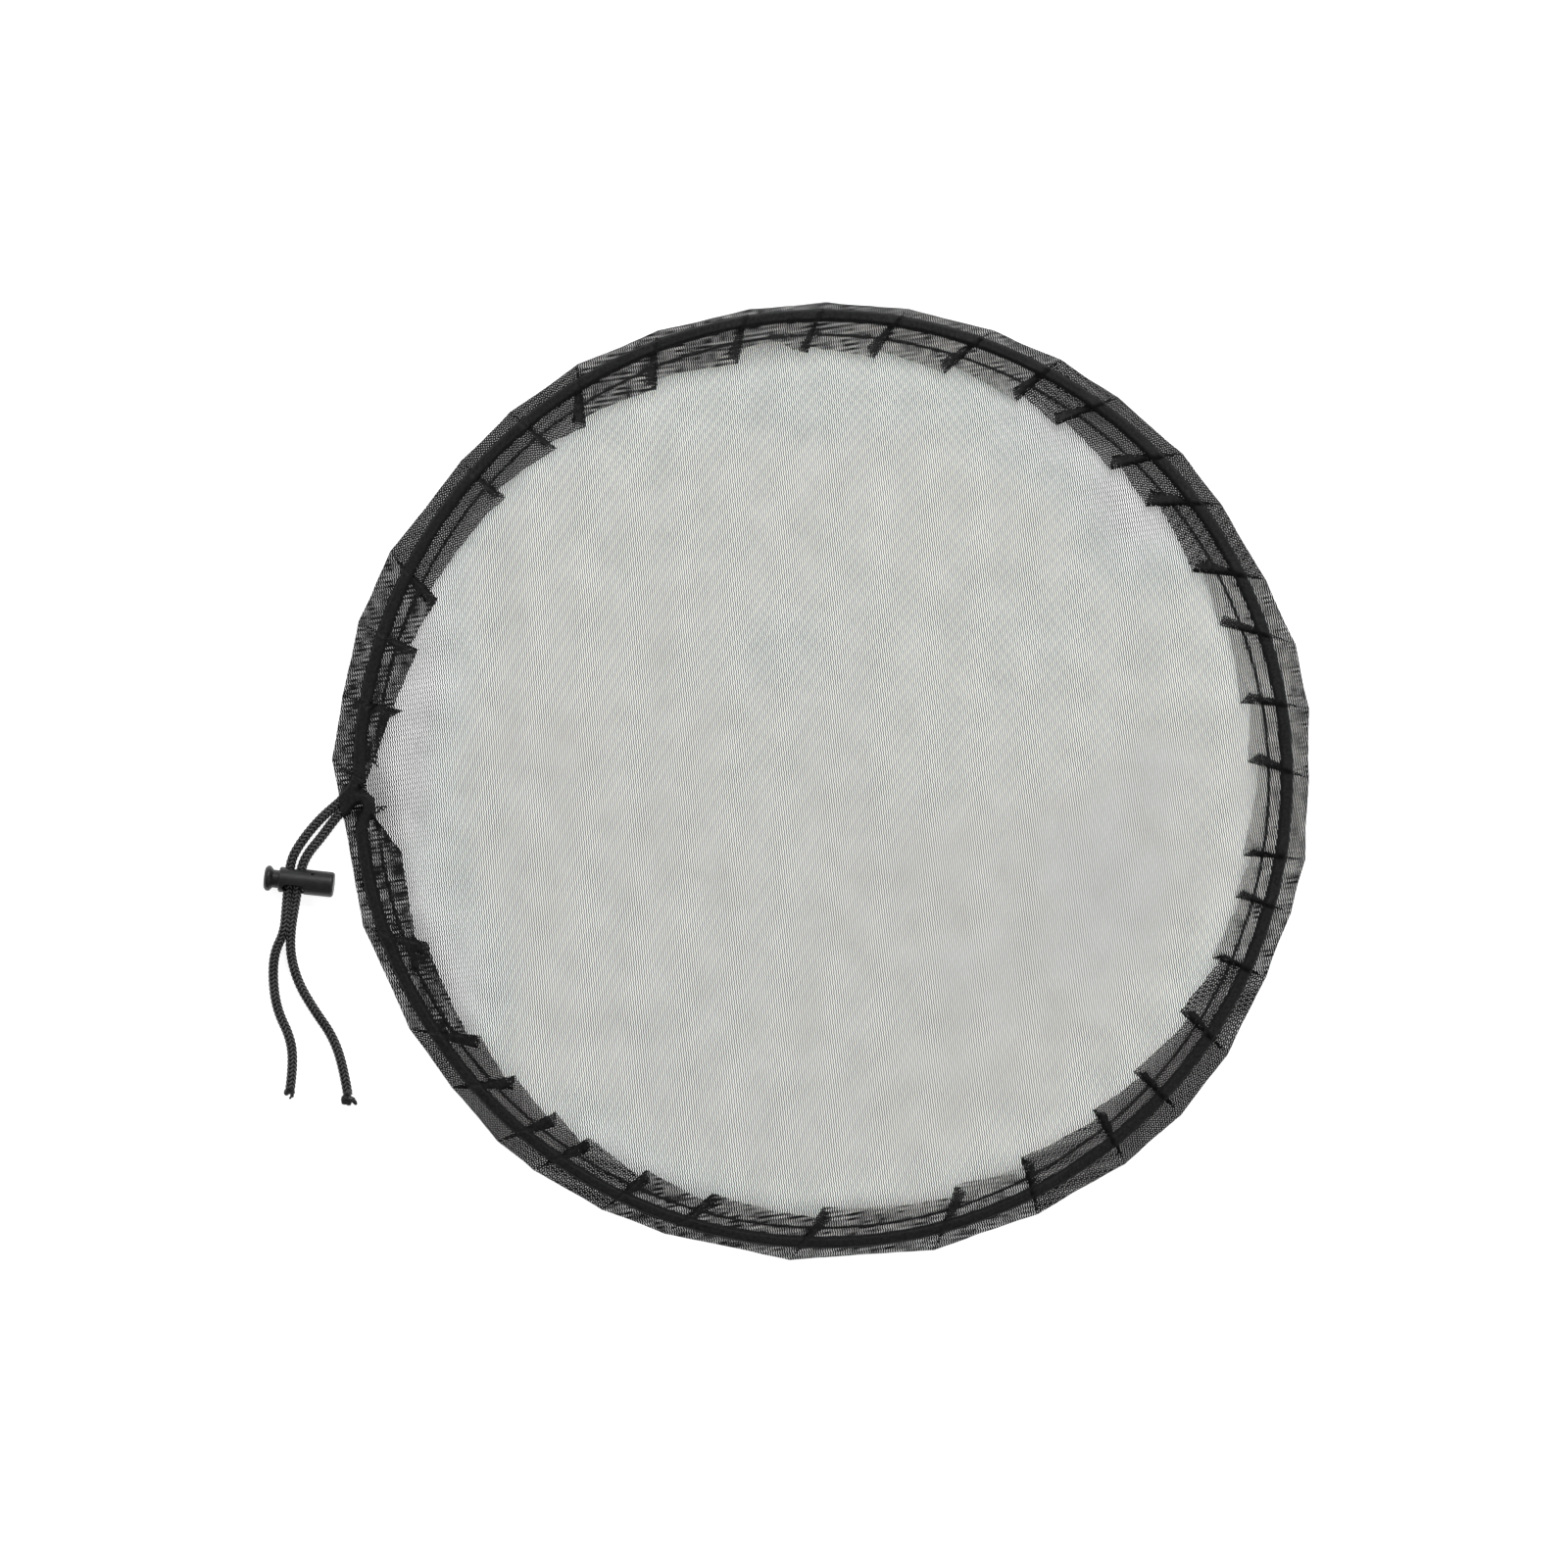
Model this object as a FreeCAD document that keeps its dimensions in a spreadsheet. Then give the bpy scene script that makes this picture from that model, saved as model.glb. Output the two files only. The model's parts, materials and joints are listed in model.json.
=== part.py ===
import FreeCAD, Part
import Sketcher
import math
import os

# Round net cover with a drawcord and a push-button cord lock.
#
# Millimetres, +Z up. The origin is the centre of the net's underside, which lies flat on the ground.
# The cord leaves the hem at -X. The lock lies beside the hem there, and the cord's two tails run on
# towards -Y. The lock's pieces are made in the lock's own frame, which starts at the barrel's mouth:
# its X runs along the barrel to the closed end, and its -Y follows the cords towards their tails.

Vector = FreeCAD.Vector

DIMENSIONS = (
    ("cover_radius", 186.5, "outline of the cover, where the hem is folded"),
    ("cloth", 0.5, "thickness of one layer of net"),
    ("hem_inner_radius", 164.0, "raw edge of the turned hem"),
    ("cord_radius", 1.8, "braided drawcord"),
    ("ring_radius", 177.0, "centreline of the cord inside the hem"),
    ("ring_height", 2.35, "height of that centreline"),
    ("tunnel_clearance", 0.2, "room round the cord inside the tunnel"),
    ("ring_start_angle", -173.67, "where the right leg starts, seen from +X"),
    ("ring_sweep_angle", 353.18, "cord that stays inside the hem"),
    ("stitch_radius", 170.5, "centre of the row of stitches"),
    ("stitch_width", 0.5, "seam thread, laid flat"),
    ("stitch_height", 0.3, "seam thread, above the hem"),
    ("slit_inner", 173.0, "inner side of the cord's exit slit, from the centre"),
    ("slit_length", 8.5, "slit, measured outward"),
    ("slit_low", 18.5, "slit's end towards the tails"),
    ("slit_width", 20.5, "slit, measured along the hem"),
    ("lock_mouth_x", -207.02, "barrel's mouth, on its axis"),
    ("lock_mouth_y", -37.28, "barrel's mouth, on its axis"),
    ("lock_tilt", -6.0, "turn of the barrel's axis about Z"),
    ("barrel_radius", 4.85, "outside of the barrel"),
    ("barrel_length", 21.0, "mouth to closed end"),
    ("barrel_bore", 3.6, "bore for the plunger"),
    ("barrel_bore_depth", 19.15, "mouth to the spring's seat"),
    ("barrel_mouth_bevel", 0.45, "bevel round the mouth"),
    ("barrel_end_round", 1.1, "rounding of the closed end"),
    ("hole_half_height", 2.1, "cord holes, half their height"),
    ("mouth_slant", 45, "rise of the flared mouth, on the tails' side of the cord holes"),
    ("barrel_hole_start", 1.65, "cord hole through the barrel, from the mouth"),
    ("barrel_hole_end", 10.25, "cord hole through the barrel, from the mouth"),
    ("keyway_start", 10.98, "groove that holds the plunger's lug"),
    ("keyway_length", 2.77, "lug's length, its travel and its play"),
    ("keyway_radius", 4.25, "groove's floor"),
    ("keyway_width", 1.6, "groove"),
    ("notch_x", 12.1, "moulding notch on the barrel's shoulder"),
    ("notch_y", 3.25, "moulding notch, from the axis"),
    ("notch_length", 1.3, "moulding notch"),
    ("notch_width", 0.7, "moulding notch"),
    ("notch_floor", 2.75, "moulding notch, above the axis"),
    ("plunger_reach", 5.5, "button's face ahead of the barrel's mouth"),
    ("button_radius", 4.85, "rim of the button"),
    ("button_face", 3.9, "flat face of the button"),
    ("button_rim_start", 0.8, "rim, from the face"),
    ("button_rim_end", 2.0, "rim, from the face"),
    ("button_rim_round", 0.9, "rounding of the rim's two edges"),
    ("button_length", 3.2, "face to neck"),
    ("neck_radius", 3.45, "neck behind the button"),
    ("plunger_radius", 3.55, "plunger's stem, a running fit in the bore"),
    ("plunger_shoulder", 5.55, "face to the stem"),
    ("plunger_length", 18.85, "face to the stem's end"),
    ("plunger_hole_start", 5.65, "cord hole through the plunger, from the face"),
    ("plunger_hole_end", 14.65, "cord hole through the plunger, from the face"),
    ("lug_start", 16.5, "snap lug, from the face"),
    ("lug_length", 1.2, "snap lug"),
    ("lug_radius", 4.15, "snap lug's crown"),
    ("lug_width", 1.4, "snap lug"),
    ("spigot_radius", 1.7, "spigot that centres the spring"),
    ("spigot_length", 1.3, "spigot that centres the spring"),
    ("spring_radius", 2.5, "centreline of the coils"),
    ("spring_wire", 0.3, "radius of the wire"),
    ("spring_pitch", 1.04, "five turns between its seats"),
    ("tip_length_left", 3.0, "melted end of the left tail"),
    ("tip_radius_left", 2.35, "melted end of the left tail"),
    ("tip_length_right", 5.6, "melted end of the right tail"),
    ("tip_radius_right", 2.7, "melted end of the right tail"),
)

# The two legs of the cord, from the ring inside the hem, up through the slit and over the hem, side by
# side through the lock, and down to the ground along the tails. Each long run is the straight stretch
# that the lock slides on.
LEFT_ROUTE = (
    (-176.99, 1.49, 2.35),
    (-177.03, -2.4, 2.35),
    (-179.4, -6.2, 3.6),
    (-184.2, -9.1, 3.9),
    (-190.6, -12.7, 3.8),
    (-197.0, -19.3, 4.1),
    (-202.54, -28.69, 4.85),
    (-205.48, -56.54, 4.85),
    (-208.6, -66.0, 2.7),
    (-209.4, -76.5, 1.95),
    (-207.0, -87.5, 1.9),
    (-203.2, -98.0, 1.9),
    (-202.1, -108.0, 1.9),
    (-203.1, -117.6, 2.4),
)
RIGHT_ROUTE = (
    (-175.92, -19.51, 2.35),
    (-176.25, -16.4, 2.35),
    (-178.8, -14.1, 3.5),
    (-182.3, -14.2, 3.8),
    (-185.6, -16.5, 3.8),
    (-191.6, -22.4, 4.2),
    (-198.86, -29.08, 4.85),
    (-201.8, -56.93, 4.85),
    (-202.0, -66.5, 2.8),
    (-199.0, -77.0, 1.95),
    (-193.0, -87.0, 1.9),
    (-186.6, -97.5, 1.9),
    (-182.6, -109.0, 2.0),
    (-180.9, -119.5, 2.75),
)
ARC_SHARE = 0.45
VOLUME_TOLERANCE = 0.01


def make_sheet(doc):
    """The spreadsheet of driving dimensions: a plain number and an alias on each row."""
    sheet = doc.addObject("Spreadsheet::Sheet", "dims")
    for row, (alias, value, note) in enumerate(DIMENSIONS, start=1):
        sheet.set(f"A{row}", alias)
        sheet.set(f"B{row}", str(value))
        sheet.set(f"C{row}", note)
        sheet.setAlias(f"B{row}", alias)
    doc.recompute()
    return sheet


def bind(obj, expressions):
    """Binds each named property of obj to an expression on the sheet."""
    for name, expression in expressions.items():
        obj.setExpression(name, expression)


def add(doc, kind, name, expressions):
    """A new object of the document with its sizes bound to the sheet."""
    obj = doc.addObject(kind, name)
    bind(obj, expressions)
    return obj


def place_in_lock(obj, start="0"):
    """Puts an object made in the lock's frame, start behind the barrel's mouth, in its real place."""
    tilt = "dims.lock_tilt"
    bind(obj, {
        "Placement.Base.x": f"dims.lock_mouth_x + ({start}) * cos({tilt})",
        "Placement.Base.y": f"dims.lock_mouth_y + ({start}) * sin({tilt})",
        "Placement.Base.z": "dims.barrel_radius",
        "Placement.Rotation.Angle": tilt,
    })


def origin_plane(body, role):
    """One of a body's own origin planes."""
    return next(f for f in body.Origin.OriginFeatures if f.Role == role)


def new_sketch(body, name, role, offset=None):
    """A sketch on one of its body's origin planes, moved along the plane's normal by an expression."""
    sketch = body.newObject("Sketcher::SketchObject", name)
    sketch.AttachmentSupport = [(origin_plane(body, role), "")]
    sketch.MapMode = "FlatFace"
    if offset:
        sketch.setExpression("AttachmentOffset.Base.z", offset)
    return sketch


def value_of(obj, expression):
    """The number that an expression stands for, or nought for a place on the axis."""
    return float(obj.evalExpression(expression)) if expression else 0.0


def constrain(sketch, expression, kind, *ids):
    """Adds one dimension to a sketch and binds it to an expression."""
    value = value_of(sketch, expression)
    index = sketch.addConstraint(Sketcher.Constraint(kind, *ids, value))
    sketch.setExpression(f"Constraints[{index}]", expression)


def closed_outline(sketch, corners):
    """Straight lines from corner to corner and back to the first, each joined to the next."""
    count = len(corners)
    for i in range(count):
        line = Part.LineSegment(Vector(*corners[i], 0), Vector(*corners[(i + 1) % count], 0))
        sketch.addGeometry(line, False)
    for i in range(count):
        sketch.addConstraint(Sketcher.Constraint("Coincident", i, 2, (i + 1) % count, 1))


def polygon(sketch, corners):
    """A closed outline whose corners are pairs of expressions, with None for a place on the axis."""
    closed_outline(sketch, [tuple(value_of(sketch, e) for e in corner) for corner in corners])
    for i, (along, across) in enumerate(corners):
        for kind, axis, expression in (("DistanceX", -2, along), ("DistanceY", -1, across)):
            if expression:
                constrain(sketch, expression, kind, -1, 1, i, 1)
            else:
                sketch.addConstraint(Sketcher.Constraint("PointOnObject", i, 1, axis))


def revolved(body, name, corners):
    """Turns an outline of (distance along X, radius) expressions about the body's X axis."""
    sketch = new_sketch(body, f"{name}_outline", "XY_Plane")
    polygon(sketch, corners)
    turned = body.newObject("PartDesign::Revolution", f"{name}_turned")
    turned.Profile = sketch
    turned.ReferenceAxis = (sketch, ["H_Axis"])
    turned.Angle = 360.0
    return turned


def oval_pocket(body, name, start, end):
    """A pocket whose outline is an oval on the XZ plane, from start to end along X."""
    sketch = new_sketch(body, f"{name}_oval", "XZ_Plane")
    half = value_of(sketch, "dims.hole_half_height")
    low_centre = f"dims.{start} + dims.hole_half_height"
    high_centre = f"dims.{end} - dims.hole_half_height"
    low = value_of(sketch, low_centre)
    high = value_of(sketch, high_centre)
    quarter = math.pi / 2
    normal = Vector(0, 0, 1)
    sketch.addGeometry([
        Part.LineSegment(Vector(low, half, 0), Vector(high, half, 0)),
        Part.ArcOfCircle(Part.Circle(Vector(high, 0, 0), normal, half), -quarter, quarter),
        Part.LineSegment(Vector(high, -half, 0), Vector(low, -half, 0)),
        Part.ArcOfCircle(Part.Circle(Vector(low, 0, 0), normal, half), quarter, 3 * quarter),
    ], False)
    for joint in ((0, 2, 1, 2), (1, 1, 2, 1), (2, 2, 3, 2), (3, 1, 0, 1)):
        sketch.addConstraint(Sketcher.Constraint("Tangent", *joint))
    for arc in (1, 3):
        sketch.addConstraint(Sketcher.Constraint("PointOnObject", arc, 3, -1))
    sketch.addConstraint(Sketcher.Constraint("Equal", 1, 3))
    constrain(sketch, "dims.hole_half_height", "Radius", 1)
    constrain(sketch, low_centre, "DistanceX", -1, 1, 3, 3)
    constrain(sketch, high_centre, "DistanceX", -1, 1, 1, 3)
    pocket = body.newObject("PartDesign::Pocket", name)
    pocket.Profile = sketch
    pocket.Type = "Length"
    pocket.setExpression("Length", "3 * dims.barrel_radius")
    return sketch, pocket


def cord_hole(body, name, start, end):
    """An oval hole along Y through a body, with a mouth that is flared upward on the tails' side."""
    sketch, through = oval_pocket(body, f"{name}_through", start, end)
    through.Midplane = True
    sketch, mouth = oval_pocket(body, f"{name}_mouth", start, end)
    sketch.AttachmentOffset = FreeCAD.Placement(Vector(), Vector(1, 0, 0), 1)
    sketch.setExpression("AttachmentOffset.Rotation.Angle", "-dims.mouth_slant")
    mouth.Reversed = True


def rectangle(body, name, start, length, middle, width, offset):
    """A rectangle parallel to the body's XY plane: where it starts, its length, middle and width.

    A middle of None puts it astride the X axis."""
    sketch = new_sketch(body, f"{name}_outline", "XY_Plane", offset)
    half = f"dims.{width} / 2"
    top = f"dims.{middle} + {half}" if middle else half
    low_x = value_of(sketch, f"dims.{start}")
    high_x = low_x + value_of(sketch, f"dims.{length}")
    high_y = value_of(sketch, top)
    low_y = high_y - value_of(sketch, f"dims.{width}")
    closed_outline(sketch, [(low_x, low_y), (high_x, low_y), (high_x, high_y), (low_x, high_y)])
    for line, kind in ((0, "Horizontal"), (2, "Horizontal"), (1, "Vertical"), (3, "Vertical")):
        sketch.addConstraint(Sketcher.Constraint(kind, line))
    constrain(sketch, f"dims.{start}", "DistanceX", -1, 1, 0, 1)
    constrain(sketch, f"dims.{length}", "DistanceX", 0, 1, 0, 2)
    constrain(sketch, f"dims.{width}", "DistanceY", 1, 1, 1, 2)
    constrain(sketch, top, "DistanceY", -1, 1, 2, 1)
    return sketch


def make_net_panel(doc):
    """The flat net, one layer of cloth on the ground."""
    body = doc.addObject("PartDesign::Body", "net_panel")
    sketch = new_sketch(body, "panel_outline", "XY_Plane")
    sketch.addGeometry(Part.Circle(Vector(), Vector(0, 0, 1), 100.0), False)
    sketch.addConstraint(Sketcher.Constraint("Coincident", 0, 3, -1, 1))
    constrain(sketch, "dims.cover_radius", "Radius", 0)
    pad = body.newObject("PartDesign::Pad", "panel_layer")
    pad.Profile = sketch
    pad.setExpression("Length", "dims.cloth")
    return body


def make_gathered_hem(doc):
    """The turned edge, which lies on the net and arches over the cord, with a slit where the cord leaves."""
    over = "2 * dims.ring_height + 2 * dims.cord_radius"
    height = {"Height": "dims.cloth", "Placement.Base.z": "dims.cloth"}
    outer = add(doc, "Part::Cylinder", "hem_outline", {"Radius": "dims.cover_radius", **height})
    inner = add(doc, "Part::Cylinder", "hem_raw_edge", {"Radius": "dims.hem_inner_radius", **height})
    flat = doc.addObject("Part::Cut", "hem_flat")
    flat.Base = outer
    flat.Tool = inner
    ring = {"Radius1": "dims.ring_radius", "Placement.Base.z": "dims.ring_height"}
    tunnel = "dims.cord_radius + dims.tunnel_clearance"
    arch = add(doc, "Part::Torus", "tunnel_outside", {"Radius2": f"{tunnel} + dims.cloth", **ring})
    hollow = add(doc, "Part::Torus", "tunnel_inside", {"Radius2": tunnel, **ring})
    below = add(doc, "Part::Cylinder", "layer_below", {
        "Radius": "dims.cover_radius + dims.ring_height",
        "Height": over,
        "Placement.Base.z": f"dims.cloth - ({over})",
    })
    slit = add(doc, "Part::Box", "exit_slit", {
        "Length": "dims.slit_length",
        "Width": "dims.slit_width",
        "Height": over,
        "Placement.Base.x": "-dims.slit_inner - dims.slit_length",
        "Placement.Base.y": "-dims.slit_low",
    })
    cloth = doc.addObject("Part::MultiFuse", "hem_cloth")
    cloth.Shapes = [flat, arch]
    removed = doc.addObject("Part::MultiFuse", "hem_removed")
    removed.Shapes = [hollow, below, slit]
    hem = doc.addObject("Part::Cut", "gathered_hem")
    hem.Base = cloth
    hem.Tool = removed
    return hem


def make_hem_stitching(doc):
    """The seam thread's row of stitches, on top of the hem between the tunnel and the raw edge."""
    height = {"Height": "dims.stitch_height", "Placement.Base.z": "2 * dims.cloth"}
    outer = add(doc, "Part::Cylinder", "stitch_outside", {
        "Radius": "dims.stitch_radius + dims.stitch_width / 2", **height})
    inner = add(doc, "Part::Cylinder", "stitch_inside", {
        "Radius": "dims.stitch_radius - dims.stitch_width / 2", **height})
    row = doc.addObject("Part::Cut", "hem_stitching")
    row.Base = outer
    row.Tool = inner
    return row


def make_drawcord_ring(doc):
    """The cord inside the hem's tunnel, open where its two legs leave."""
    ring = add(doc, "Part::Torus", "drawcord_ring", {
        "Radius1": "dims.ring_radius",
        "Radius2": "dims.cord_radius",
        "Angle3": "dims.ring_sweep_angle",
        "Placement.Base.z": "dims.ring_height",
        "Placement.Rotation.Angle": "dims.ring_start_angle",
    })
    return ring


def rounded_path(name, route):
    """A wire of straight runs joined by tangent arcs through a route's points, and its arcs' radii."""
    points = [Vector(*p) for p in route]
    edges = []
    radii = []
    here = points[0]
    for before, corner, after in zip(points, points[1:], points[2:]):
        back = (before - corner).normalize()
        ahead = (after - corner).normalize()
        half_turn = (math.pi - back.getAngle(ahead)) / 2
        reach = ARC_SHARE * min(before.distanceToPoint(corner), corner.distanceToPoint(after))
        radius = reach / math.tan(half_turn)
        middle_way = (back + ahead).normalize()
        top = corner + middle_way * (radius / math.cos(half_turn) - radius)
        start = corner + back * reach
        end = corner + ahead * reach
        edges.append(Part.LineSegment(here, start).toShape())
        edges.append(Part.Arc(start, top, end).toShape())
        radii.append(radius)
        here = end
    edges.append(Part.LineSegment(here, points[-1]).toShape())
    print(name, "arc radii, mm:", ", ".join(f"{r:.1f}" for r in radii))
    return Part.Wire(edges)


def make_cord_leg(doc, name, route):
    """One leg of the drawcord as a round tube along its route."""
    path = doc.addObject("Part::Feature", f"{name}_path")
    path.Shape = rounded_path(name, route)
    section = add(doc, "Part::Circle", f"{name}_section", {"Radius": "dims.cord_radius"})
    first_run = Vector(*route[1]) - Vector(*route[0])
    section.Placement = FreeCAD.Placement(
        Vector(*route[0]), FreeCAD.Rotation(Vector(0, 0, 1), first_run))
    leg = doc.addObject("Part::Sweep", name)
    leg.Sections = [section]
    leg.Spine = (path, [f"Edge{i + 1}" for i in range(len(path.Shape.Edges))])
    leg.Solid = True
    leg.Frenet = False
    return leg


def make_cord_tip(doc, name, route, side):
    """The melted end of a tail: it widens from the cord's own radius."""
    tip = add(doc, "Part::Cone", name, {
        "Radius1": "dims.cord_radius",
        "Radius2": f"dims.tip_radius_{side}",
        "Height": f"dims.tip_length_{side}",
    })
    last_run = Vector(*route[-1]) - Vector(*route[-2])
    tip.Placement = FreeCAD.Placement(
        Vector(*route[-1]), FreeCAD.Rotation(Vector(0, 0, 1), last_run))
    return tip


def rim_edge(feature, along, radius):
    """The name of a feature's round edge at one place along X."""
    for number, edge in enumerate(feature.Shape.Edges, start=1):
        curve = edge.Curve
        if isinstance(curve, Part.Circle) and abs(curve.Radius - radius) < 1e-6:
            if abs(curve.Center.x - along) < 1e-6:
                return f"Edge{number}"
    raise ValueError(f"no round edge at {along}")


def make_lock_barrel(doc, sheet):
    """The lock's barrel: closed at one end, with a cord hole across it and a keyway inside."""
    body = doc.addObject("PartDesign::Body", "lock_barrel")
    turned = revolved(body, "barrel", (
        (None, "dims.barrel_radius - dims.barrel_mouth_bevel"),
        ("dims.barrel_mouth_bevel", "dims.barrel_radius"),
        ("dims.barrel_length", "dims.barrel_radius"),
        ("dims.barrel_length", None),
        ("dims.barrel_bore_depth", None),
        ("dims.barrel_bore_depth", "dims.barrel_bore"),
        (None, "dims.barrel_bore"),
    ))
    doc.recompute()
    rounded = body.newObject("PartDesign::Fillet", "barrel_closed_end")
    rounded.Base = (turned, [rim_edge(turned, sheet.barrel_length, sheet.barrel_radius)])
    rounded.setExpression("Radius", "dims.barrel_end_round")
    cord_hole(body, "barrel_hole", "barrel_hole_start", "barrel_hole_end")
    keyway = body.newObject("PartDesign::Pocket", "keyway")
    keyway.Profile = rectangle(body, "keyway", "keyway_start", "keyway_length", None,
                               "keyway_width", "-dims.keyway_radius")
    keyway.Reversed = True
    keyway.setExpression("Length", "dims.keyway_radius")
    notch = body.newObject("PartDesign::Pocket", "moulding_notch")
    notch.Profile = rectangle(body, "notch", "notch_x", "notch_length", "notch_y",
                              "notch_width", "dims.barrel_radius")
    notch.setExpression("Length", "dims.barrel_radius - dims.notch_floor")
    place_in_lock(body)
    return body


def make_lock_plunger(doc, sheet):
    """The plunger: a button, a neck and a stem with its own cord hole, a snap lug and a spring spigot."""
    body = doc.addObject("PartDesign::Body", "lock_plunger")
    turned = revolved(body, "plunger", (
        (None, None),
        (None, "dims.button_face"),
        ("dims.button_rim_start", "dims.button_radius"),
        ("dims.button_rim_end", "dims.button_radius"),
        ("dims.button_length", "dims.neck_radius"),
        ("dims.plunger_shoulder", "dims.neck_radius"),
        ("dims.plunger_shoulder", "dims.plunger_radius"),
        ("dims.plunger_length", "dims.plunger_radius"),
        ("dims.plunger_length", "dims.spigot_radius"),
        ("dims.plunger_length + dims.spigot_length", "dims.spigot_radius"),
        ("dims.plunger_length + dims.spigot_length", None),
    ))
    doc.recompute()
    rounded = body.newObject("PartDesign::Fillet", "button_rim")
    rounded.Base = (turned, [
        rim_edge(turned, sheet.button_rim_start, sheet.button_radius),
        rim_edge(turned, sheet.button_rim_end, sheet.button_radius),
    ])
    rounded.setExpression("Radius", "dims.button_rim_round")
    cord_hole(body, "plunger_hole", "plunger_hole_start", "plunger_hole_end")
    lug = body.newObject("PartDesign::Pad", "snap_lug")
    lug.Profile = rectangle(body, "lug", "lug_start", "lug_length", None,
                            "lug_width", "-dims.lug_radius")
    lug.setExpression("Length", "dims.lug_radius - dims.spigot_radius")
    place_in_lock(body, "-dims.plunger_reach")
    return body


def make_lock_spring(doc):
    """The coil spring between the plunger's stem and the barrel's closed end."""
    start = "dims.plunger_length - dims.plunger_reach"
    coil = add(doc, "Part::Helix", "spring_line", {
        "Radius": "dims.spring_radius",
        "Pitch": "dims.spring_pitch",
        "Height": f"dims.barrel_bore_depth - ({start}) - 2 * dims.spring_wire",
    })
    wire = add(doc, "Part::Circle", "spring_section", {
        "Radius": "dims.spring_wire",
        "Placement.Base.x": "dims.spring_radius",
    })
    wire.Placement.Rotation = FreeCAD.Rotation(Vector(1, 0, 0), 90)
    turns = doc.addObject("Part::Sweep", "spring_turns")
    turns.Sections = [wire]
    turns.Spine = (coil, ["Edge1"])
    turns.Solid = True
    turns.Frenet = True
    doc.recompute()
    along_barrel = FreeCAD.Placement(Vector(), FreeCAD.Rotation(Vector(0, 1, 0), 90))
    turns.Placement = along_barrel
    spring = doc.addObject("Part::Compound", "lock_spring")
    spring.Links = [turns]
    place_in_lock(spring, f"{start} + dims.spring_wire")
    return spring


def check_cord(leg, path, radius):
    """Stops if a tube's volume isn't its section times its length."""
    expected = math.pi * radius ** 2 * path.Length
    error = abs(leg.Shape.Volume / expected - 1)
    print(leg.Label, f"length {path.Length:.1f} mm, volume error {error:.5f}")
    if error > VOLUME_TOLERANCE:
        raise ValueError(f"{leg.Label} is not a clean tube")


def check_and_write(doc, nodes):
    """Checks every object and each sub-part's shape, then writes each sub-part to its own file."""
    for obj in doc.Objects:
        if "Invalid" in obj.State or "Error" in obj.State:
            raise ValueError(f"{obj.Name} failed: {obj.State}")
    for node in nodes:
        if node.Shape.isNull() or not node.Shape.isValid():
            raise ValueError(f"{node.Label} has no valid shape")
    os.makedirs("parts", exist_ok=True)
    for node in nodes:
        node.Shape.exportStep(f"parts/{node.Label}.step")
        print(node.Label, f"{node.Shape.Volume:.1f} mm3, {len(node.Shape.Solids)} solid")


def main():
    doc = FreeCAD.newDocument("round_net_cover")
    sheet = make_sheet(doc)
    left = make_cord_leg(doc, "drawcord_left", LEFT_ROUTE)
    right = make_cord_leg(doc, "drawcord_right", RIGHT_ROUTE)
    nodes = [
        make_net_panel(doc),
        make_gathered_hem(doc),
        make_hem_stitching(doc),
        make_drawcord_ring(doc),
        left,
        right,
        make_cord_tip(doc, "cord_tip_left", LEFT_ROUTE, "left"),
        make_cord_tip(doc, "cord_tip_right", RIGHT_ROUTE, "right"),
        make_lock_barrel(doc, sheet),
        make_lock_plunger(doc, sheet),
        make_lock_spring(doc),
    ]
    doc.recompute()
    for leg in (left, right):
        check_cord(leg, leg.Spine[0].Shape, sheet.cord_radius)
    check_and_write(doc, nodes)


main()
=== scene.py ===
"""Looks for the round net cover: a knitted net with a gathered hem, a braided drawcord and a cord lock.

Lengths are in metres. Places that belong to the part come from the frame, and the rest are named here.
Angles go round the cover from +X towards +Y.
"""

import json
import math

import bpy
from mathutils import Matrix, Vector, kdtree, noise


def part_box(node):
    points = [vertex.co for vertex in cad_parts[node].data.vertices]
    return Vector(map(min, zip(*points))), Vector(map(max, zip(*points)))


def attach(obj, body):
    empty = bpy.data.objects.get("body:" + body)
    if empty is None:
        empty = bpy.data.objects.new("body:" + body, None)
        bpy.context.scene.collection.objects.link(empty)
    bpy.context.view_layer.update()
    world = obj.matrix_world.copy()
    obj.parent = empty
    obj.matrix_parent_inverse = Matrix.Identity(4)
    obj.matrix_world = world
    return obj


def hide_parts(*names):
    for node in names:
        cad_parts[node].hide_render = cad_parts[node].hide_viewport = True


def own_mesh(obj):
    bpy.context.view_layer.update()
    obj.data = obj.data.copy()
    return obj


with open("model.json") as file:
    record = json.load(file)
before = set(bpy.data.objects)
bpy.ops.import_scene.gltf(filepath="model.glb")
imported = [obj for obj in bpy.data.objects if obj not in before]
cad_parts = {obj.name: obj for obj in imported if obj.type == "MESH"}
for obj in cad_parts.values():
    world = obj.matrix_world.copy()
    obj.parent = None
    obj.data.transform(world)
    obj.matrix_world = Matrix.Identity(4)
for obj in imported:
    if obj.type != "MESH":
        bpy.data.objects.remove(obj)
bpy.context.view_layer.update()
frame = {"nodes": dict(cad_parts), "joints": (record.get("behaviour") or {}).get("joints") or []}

MM = 0.001
SEED = 7

# ---- places from the frame ----------------------------------------------------------------------
PANEL_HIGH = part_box("net_panel")[1]
RING_LOW, RING_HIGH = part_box("drawcord_ring")
SEAM_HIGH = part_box("hem_stitching")[1]
CORD_RADIUS = (RING_HIGH[2] - RING_LOW[2]) / 2
CORD_HEIGHT = (RING_HIGH[2] + RING_LOW[2]) / 2
RING_RADIUS = RING_HIGH[0] - CORD_RADIUS
SEAM_WIDTH = 0.5 * MM
SEAM_RADIUS = SEAM_HIGH[0] - SEAM_WIDTH / 2
COVER_RADIUS = PANEL_HIGH[0]

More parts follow.
